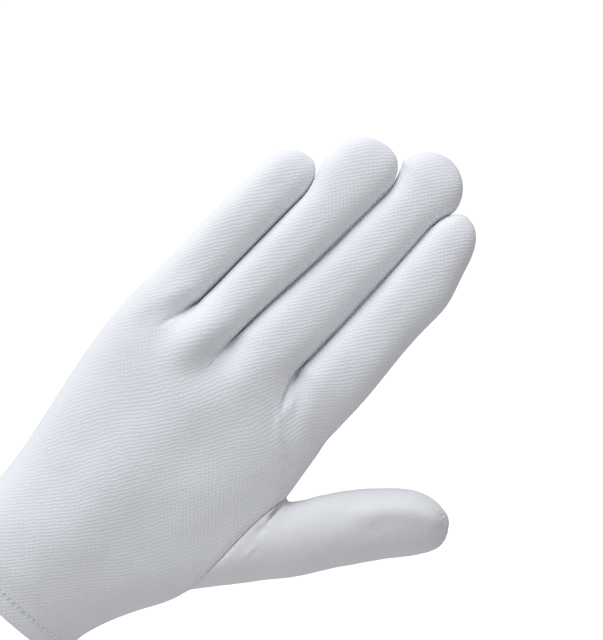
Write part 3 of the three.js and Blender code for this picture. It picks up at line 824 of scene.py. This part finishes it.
def thumb_ring(row, inset):
    along, side, turn, wide, deep = row
    axis = Vector((math.sin(THUMB_SPLAY), 0, math.cos(THUMB_SPLAY)))
    aside = Vector((math.cos(THUMB_SPLAY), 0, -math.sin(THUMB_SPLAY)))
    foot = Vector((seam_x(HOLE_MIDDLE), (HOLE_PALM - HOLE_BACK) / 2, HOLE_MIDDLE))
    across = Vector((math.sin(math.radians(turn)), 0, math.cos(math.radians(turn))))
    middle = foot + axis * (along * THUMB_REACH) + aside * (side * THUMB_WIDTH)
    middle.y += THUMB_FORWARD * along ** THUMB_CURL
    half_wide = max(0.0, wide * THUMB_WIDTH / 2 - inset)
    half_deep = max(0.0, deep * THUMB_THICKNESS / 2 - inset)
    ring = []
    for k in range(THUMB_AROUND):
        angle = 2 * math.pi * k / THUMB_AROUND
        point = middle + across * (half_wide * math.cos(angle))
        point.y -= half_deep * math.sin(angle)
        ring.append(point)
    return ring


def spline(points, t):
    """A smooth curve through a list of points, at a place from 0 to the last one's number"""
    last = len(points) - 1
    i = min(last - 1, int(t))
    f = t - i
    p1, p2 = points[i], points[i + 1]
    p0 = points[i - 1] if i > 0 else p1 * 2 - p2
    p3 = points[i + 2] if i + 2 <= last else p2 * 2 - p1
    return 0.5 * ((2 * p1) + (p2 - p0) * f + (2 * p0 - 5 * p1 + 4 * p2 - p3) * f ** 2
                  + (3 * p1 - p0 - 3 * p2 + p3) * f ** 3)


def thumb_rings(inset):
    rings = [thumb_ring_at_hole(inset)]
    for row in THUMB_ROWS[:-1]:
        rings.append(thumb_ring(row, inset))
    tip = thumb_ring(THUMB_ROWS[-1], 0)
    axis = Vector((math.sin(THUMB_SPLAY), 0, math.cos(THUMB_SPLAY)))
    rings.append([point - axis * inset for point in tip])
    last = len(rings) - 1
    fine = []
    for step in range(THUMB_STEPS + 1):
        t = last * step / THUMB_STEPS
        fine.append([spline([ring[k] for ring in rings], t) for k in range(THUMB_AROUND)])
    return fine


def thumb_piece(name):
    outer_rings, inner_rings = thumb_rings(0.0), thumb_rings(CLOTH)
    outer = [point for ring in outer_rings for point in ring]
    inner = [point for ring in inner_rings for point in ring]
    tip = THUMB_STEPS * THUMB_AROUND
    quads, uvs = [], []
    lengths = [0.0]
    for before, after in zip(outer_rings, outer_rings[1:]):
        lengths.append(lengths[-1] + (after[THUMB_AROUND // 4]
                                      - before[THUMB_AROUND // 4]).length)
    rounds = []
    for ring in outer_rings:
        arc = [0.0]
        for k in range(THUMB_AROUND):
            arc.append(arc[-1] + (ring[(k + 1) % THUMB_AROUND] - ring[k]).length)
        rounds.append([a - arc[THUMB_AROUND // 4] for a in arc])
    for ring in range(THUMB_STEPS):
        for k in range(THUMB_AROUND):
            corners = [(ring, k), (ring, k + 1), (ring + 1, k + 1), (ring + 1, k)]
            quads.append([min(tip, r * THUMB_AROUND + c % THUMB_AROUND) for r, c in corners])
            uvs.append([(-rounds[r][c], lengths[r]) for r, c in corners])
    return cloth_mesh(name, outer, inner, quads, uvs)


# Creases and folds of the thumb, seen from the back: the pucker where it leaves the hand, small
# folds along the seam, and the long soft ridge towards its tip
THUMB_FOLDS = [
    (((50.3, 98.0), (50.0, 93.1), (50.3, 89.2), (51.3, 85.2)), 0.6, -2.1, 0.0, 0.5),
    (((48.9, 95.5), (48.8, 92.0), (48.9, 87.5)), 0.5, 0.35, 0.2, 0.5),
    (((51.8, 95.0), (52.0, 91.0), (52.8, 87.0)), 1.3, 0.35, 0.3, 0.5),
    (((51.0, 86.5), (50.9, 83.5), (51.4, 80.0)), 1.5, -0.5, 0.4, 0.4),
    (((53.6, 80.6), (53.4, 75.5), (52.8, 70.6)), 1.1, 0.3, 0.4, 0.4),
    (((67.2, 104.0), (71.7, 112.0), (77.1, 119.0), (83.9, 124.8), (89.6, 128.0), (94.4, 129.3),
      (97.9, 128.8)), 3.8, 1.4, 0.3, 0.3),
    (((78.6, 109.5), (78.5, 112.0), (78.0, 115.0)), 0.7, -0.14, 0.4, 0.4),
    (((81.0, 110.3), (80.9, 113.0), (80.5, 115.6)), 0.7, -0.14, 0.4, 0.4),
    (((89.6, 132.0), (93.9, 132.8), (96.6, 132.0), (98.4, 129.8)), 0.8, 0.3, 0.2, 0.2),
]
# and the dents of the stitches at its tip
THUMB_DENTS = [
    (92.2, 132.2, 0.45, 0.5, -0.3),
    (93.6, 131.6, 0.5, 0.5, -0.4),
    (95.0, 130.8, 0.5, 0.5, -0.4),
    (96.2, 129.7, 0.45, 0.5, -0.3),
]
TIP_SEAM_ANGLE = math.radians(24)
TIP_SEAM_FROM = 0.72
TIP_SEAM_RISE, TIP_SEAM_WIDTH = 0.32, 0.45


def thumb_rise(place, normal, k):
    x, y, z = place
    ring, step = divmod(k, THUMB_AROUND)
    along = ring / THUMB_STEPS
    free = smooth(along / 0.06)
    rise = 0.3 * slack(x, y, z, 13, 5) + 0.1 * slack(x, y, z, 5, 23)
    rise *= free
    angle = 2 * math.pi * step / THUMB_AROUND
    off = min(abs(angle - TIP_SEAM_ANGLE), abs(math.pi - angle - TIP_SEAM_ANGLE))
    share = smooth((along - TIP_SEAM_FROM) / 0.08) * smooth((1 - along) / 0.02)
    radius = max(0.5, 11 * math.sqrt(max(0.0, 1 - ((along - 0.7) / 0.3) ** 2)))
    rise += TIP_SEAM_RISE * share * math.exp(-(off * radius / TIP_SEAM_WIDTH) ** 2)
    if normal.y < 0:
        creases = fold_rise(x, z, THUMB_FOLDS) + swell_rise(x, z, THUMB_DENTS)
        rise += creases * smooth(-normal.y / 0.2)
    sunk = math.exp(-((x - seam_x(z)) / SEAM_ROLL) ** 2)
    rise -= SEAM_SINK * sunk * smooth(abs(normal.y) / SEAM_FLAT) * smooth(along / 0.004 + 0.3)
    return rise


# The thumb's cloth, with painted shade in the hollows of its finer knit
smooth_cotton = knitted_cotton("smooth_cotton", 0.62, 0.5, math.radians(170), math.radians(80),
                               (0.83, 0.835, 0.86), (0.76, 0.765, 0.79), 0.00005, 2.0)
thumb, thumb_points = thumb_piece("thumb_tube")
shape_cloth(thumb, thumb_points, thumb_rise)
thumb.data.materials.append(smooth_cotton)
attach(thumb, "root")
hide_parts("thumb")


# ---------------------------------------------------------------------------------------------
# The wrist hem: the shell's cloth turned over once at the wrist opening, so two layers thick.
# A row of small stitches that pull the outer layer into dimples holds it, and a zigzag of thread
# binds the turned edge on the inside.
HEM_WALL, HEM_STEP = 2.4, 0.4
HEM_PROUD = 0.22
HEM_UP = 26
STITCH_COUNT = 76
STEPS_A_STITCH = 8
HEM_AROUND = STITCH_COUNT * STEPS_A_STITCH
STITCH_ROW, STITCH_SINK, STITCH_SPREAD = 5.4, 0.2, 0.6
THREAD_RADIUS = 0.22


def hem_place(angle, z, inset):
    left, right = hand_at(z, inset)[:2]
    side = BACK if math.sin(angle) >= 0 else PALM
    x = mix(left, right, (1 - math.cos(angle)) / 2)
    return Vector((x, side * hand_height(side, x, z, inset, False), z))


def even_angles():
    """Angles of HEM_AROUND places that lie evenly along the wrist's edge"""
    fine = 4 * HEM_AROUND
    reach = [0.0]
    for k in range(fine):
        a, b = (hem_place(2 * math.pi * n / fine, STITCH_ROW, 0) for n in (k, k + 1))
        reach.append(reach[-1] + (b - a).length)
    angles, k = [], 0
    for step in range(HEM_AROUND):
        wanted = reach[-1] * step / HEM_AROUND
        while reach[k + 1] < wanted:
            k += 1
        share = (wanted - reach[k]) / (reach[k + 1] - reach[k])
        angles.append(2 * math.pi * (k + share) / fine)
    return angles, reach[-1]


def hem_piece(name, angles, length):
    """Section of the turned cloth, rounded at its lower fold, followed round the opening. The
    upper edge lies level with the shell, and the stitches sink into the outer layer."""
    section = []
    for k in range(HEM_UP + 1):
        z = mix(HEM_HEIGHT, 0.9, k / HEM_UP)
        proud = HEM_PROUD * smooth((HEM_HEIGHT - z) / 1.6)
        section.append((z, -proud, 1.0))
    for k in range(1, 8):
        angle = math.pi * k / 8
        outer, inner = -HEM_PROUD, HEM_WALL - HEM_STEP
        inset = (outer + inner) / 2 - (inner - outer) / 2 * math.cos(angle)
        section.append((0.9 - 0.9 * math.sin(angle), inset, 0.0))
    for k in range(HEM_UP + 1):
        section.append((mix(0.9, HEM_HEIGHT, k / HEM_UP), HEM_WALL - HEM_STEP, 0.0))
    verts, faces, uvs = [], [], []
    span = len(section)
    arcs = [length * k / HEM_AROUND for k in range(HEM_AROUND + 1)]
    for around, angle in enumerate(angles):
        pull = 0.6 + 0.4 * math.cos(2 * math.pi * around / STEPS_A_STITCH)
        for z, inset, outside in section:
            near = math.exp(-((z - STITCH_ROW) / STITCH_SPREAD) ** 2)
            verts.append(hem_place(angle, z, inset + outside * STITCH_SINK * pull * near))
    for around in range(HEM_AROUND):
        after = (around + 1) % HEM_AROUND
        for k in range(span):
            up = (k + 1) % span
            faces.append([around * span + k, around * span + up, after * span + up,
                          after * span + k])
            a, b = section[k], section[up]
            uvs.append([(arcs[around], a[0]), (arcs[around], b[0]), (arcs[around + 1], b[0]),
                        (arcs[around + 1], a[0])])
    mesh = bpy.data.meshes.new(name)
    mesh.from_pydata([point * MM for point in verts], [], faces)
    layer = mesh.uv_layers.new(name="cloth")
    layer.data.foreach_set("uv", [n for face in uvs for place in face for n in place])
    mesh.polygons.foreach_set("use_smooth", [True] * len(mesh.polygons))
    mesh.set_sharp_from_angle(angle=RIM_ANGLE)
    piece = bpy.data.objects.new(name, mesh)
    bpy.context.scene.collection.objects.link(piece)
    return piece


def threads(name, paths, radius, sides):
    """Thread laid along each path of points, as a tube with pointed ends"""
    verts, faces = [], []
    for path in paths:
        start = len(verts)
        last = len(path) - 1
        for k, point in enumerate(path):
            along = (path[min(last, k + 1)] - path[max(0, k - 1)]).normalized()
            across = along.cross(Vector((0, 0, 1)) if abs(along.z) < 0.8 else Vector((1, 0, 0)))
            across.normalize()
            beside = along.cross(across)
            for side in range(sides):
                angle = 2 * math.pi * side / sides
                verts.append(point + (across * math.cos(angle) + beside * math.sin(angle)) * radius)
        for k in range(last):
            for side in range(sides):
                after = (side + 1) % sides
                faces.append([start + k * sides + side, start + k * sides + after,
                              start + (k + 1) * sides + after, start + (k + 1) * sides + side])
        faces.append([start + side for side in reversed(range(sides))])
        faces.append([start + last * sides + side for side in range(sides)])
    mesh = bpy.data.meshes.new(name)
    mesh.from_pydata([point * MM for point in verts], [], faces)
    mesh.polygons.foreach_set("use_smooth", [True] * len(mesh.polygons))
    piece = bpy.data.objects.new(name, mesh)
    bpy.context.scene.collection.objects.link(piece)
    return piece


# The hem's cloth, with the same painted shade in the hollows of its knit
hem_cotton = knitted_cotton("hem_cotton", ROW_PITCH, STITCH_PITCH, ROWS_FACE, STITCHES_FACE,
                            KNIT_WHITE, KNIT_PAINTED_SHADE, KNIT_DEPTH, 2.0)
hem_angles, hem_length = even_angles()
hem = hem_piece("turned_hem", hem_angles, hem_length)
hem.data.materials.append(hem_cotton)
bpy.ops.object.select_all(action="DESELECT")
bpy.context.view_layer.objects.active = hem
hem.select_set(True)
bpy.ops.object.mode_set(mode="EDIT")
bpy.ops.mesh.select_all(action="SELECT")
bpy.ops.mesh.normals_make_consistent(inside=False)
bpy.ops.object.mode_set(mode="OBJECT")
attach(hem, "root")
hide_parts("wrist_hem")

outside_stitches, binding = [], []
for stitch in range(STITCH_COUNT):
    at = stitch * STEPS_A_STITCH
    bit = []
    for step, z, above in ((0, 5.4, -0.1), (1, 5.6, 0.16), (2, 6.2, 0.2), (3, 6.8, 0.1),
                           (4, 7.1, -0.2)):
        bit.append(hem_place(hem_angles[(at + step) % HEM_AROUND], z, -above))
    outside_stitches.append(bit)
    loop = []
    for step, z in ((0, 4.9), (2, 5.9), (4, 6.85), (6, 5.9), (8, 4.9)):
        inset = HEM_WALL - HEM_STEP + THREAD_RADIUS * 0.6
        loop.append(hem_place(hem_angles[(at + step) % HEM_AROUND], z, inset))
    binding.append(loop)

thread_cotton = bpy.data.materials.new("sewing_thread")
thread_cotton.use_nodes = True
tree = thread_cotton.node_tree
place = node(tree, "ShaderNodeTexCoord").outputs["Object"]
fibre = node(tree, "ShaderNodeTexNoise", {"Vector": place, "Scale": 900.0, "Detail": 2.0})
tint = node(tree, "ShaderNodeMix", {"Factor": fibre.outputs[0], "A": (0.86, 0.865, 0.88, 1),
                                    "B": (0.95, 0.955, 0.965, 1)}, data_type="RGBA")
thread_shader = tree.nodes["Principled BSDF"]
tree.links.new(tint.outputs["Result"], thread_shader.inputs["Base Color"])
thread_shader.inputs["Roughness"].default_value = 0.75
thread_shader.inputs["Specular IOR Level"].default_value = 0.3
for name, paths in (("hem_stitches", outside_stitches), ("hem_binding", binding)):
    stitching = threads(name, paths, THREAD_RADIUS, 5)
    stitching.data.materials.append(thread_cotton)
    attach(stitching, "root")


# ---------------------------------------------------------------------------------------------
# The room: a large pale floor under the glove, soft studio light from the little finger's side,
# and the camera at the photograph's angle, turned so that the glove lies on the slant.
FLOOR_BELOW = 0.12
FLOOR_SIZE = 60.0
bpy.ops.object.select_all(action="DESELECT")
bpy.ops.mesh.primitive_plane_add(size=FLOOR_SIZE, location=(0, 0, -FLOOR_BELOW))
floor = bpy.context.object
floor.name = "floor"
floor_paint = bpy.data.materials.new("pale_floor")
floor_paint.use_nodes = True
paint = floor_paint.node_tree.nodes["Principled BSDF"]
paint.inputs["Base Color"].default_value = (0.9, 0.9, 0.9, 1)
paint.inputs["Roughness"].default_value = 0.9
paint.inputs["Emission Color"].default_value = (1, 1, 1, 1)
seen = floor_paint.node_tree.nodes.new("ShaderNodeLightPath")
glow = maths(floor_paint.node_tree, "MULTIPLY", seen.outputs["Is Camera Ray"], 0.8)
floor_paint.node_tree.links.new(glow, paint.inputs["Emission Strength"])
floor.data.materials.append(floor_paint)

world = bpy.data.worlds.new("white_room")
world.use_nodes = True
bpy.context.scene.world = world
sky = world.node_tree
background = sky.nodes["Background"]
background.inputs["Color"].default_value = (1, 1, 1, 1)
path = sky.nodes.new("ShaderNodeLightPath")
ROOM_LIGHT = 0.435
strength = maths(sky, "MULTIPLY_ADD", path.outputs["Is Camera Ray"], 1.05 - ROOM_LIGHT,
                 ROOM_LIGHT)
sky.links.new(strength, background.inputs["Strength"])

MIDDLE = Vector((0.00857, 0.0, 0.1459))


def studio_lamp(name, place, size, power, colour):
    lamp = bpy.data.lights.new(name, "AREA")
    lamp.shape = "SQUARE"
    lamp.size = size
    lamp.energy = power
    lamp.color = colour
    holder = bpy.data.objects.new(name, lamp)
    holder.location = place
    towards = MIDDLE - Vector(place)
    holder.rotation_euler = towards.to_track_quat("-Z", "Y").to_euler()
    bpy.context.scene.collection.objects.link(holder)


studio_lamp("key", (-0.80, -0.36, 0.72), 0.65, 9.0, (0.94, 0.965, 1.0))

camera_data = bpy.data.cameras.new("photo_camera")
camera_data.lens = 100.0
camera_data.sensor_width = 36.0
camera = bpy.data.objects.new("photo_camera", camera_data)
right = Vector((1, 0, 1)).normalized()
up = Vector((-1, 0, 1)).normalized()
turn = Matrix((right, up, right.cross(up))).transposed().to_4x4()
camera.matrix_world = Matrix.Translation(MIDDLE - Vector((0, 0.635, 0))) @ turn
bpy.context.scene.collection.objects.link(camera)
bpy.context.scene.camera = camera
bpy.context.scene.view_settings.view_transform = "Standard"
